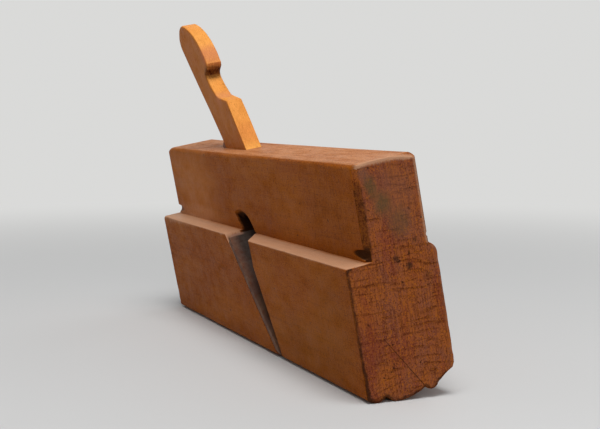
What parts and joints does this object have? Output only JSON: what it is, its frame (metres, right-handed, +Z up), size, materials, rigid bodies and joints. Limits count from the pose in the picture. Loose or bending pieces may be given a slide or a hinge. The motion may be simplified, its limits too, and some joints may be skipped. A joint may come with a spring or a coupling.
{
  "type": "complex moulding plane",
  "caption": "Wooden moulding plane with a rebated grip, side escapement, tapered wedge and shouldered iron, leaning on its curved sole",
  "frame": {"origin": "Middle of the base of the plane's bounding box, on the surface that the sole stands on", "axes": "+X from heel to toe along the stock, +Y towards the blind side, +Z up. The plane leans 10.7 degrees about X, its top towards -Y, as it stands on two swells of its sole"},
  "size_m": [0.2413, 0.0488, 0.1574],
  "materials": {
    "beech": "oiled, hand worn",
    "wedge_beech": "smooth, worn",
    "iron_steel": "forged, dull brown patina"
  },
  "bodies": {
    "stock": {"stock": "beech"},
    "wedge": {"wedge": "wedge_beech"},
    "iron": {"iron": "iron_steel"}
  },
  "joints": [
    {"name": "wedge_slide", "type": "slide", "parent": "stock", "child": "wedge", "axis": [-0.6428, -0.1425, 0.7527], "range_m": [0, 0.085]},
    {"name": "iron_slide", "type": "slide", "parent": "stock", "child": "iron", "axis": [0.6428, 0.1425, -0.7527], "range_m": [-0.006, 0.13]}
  ]
}
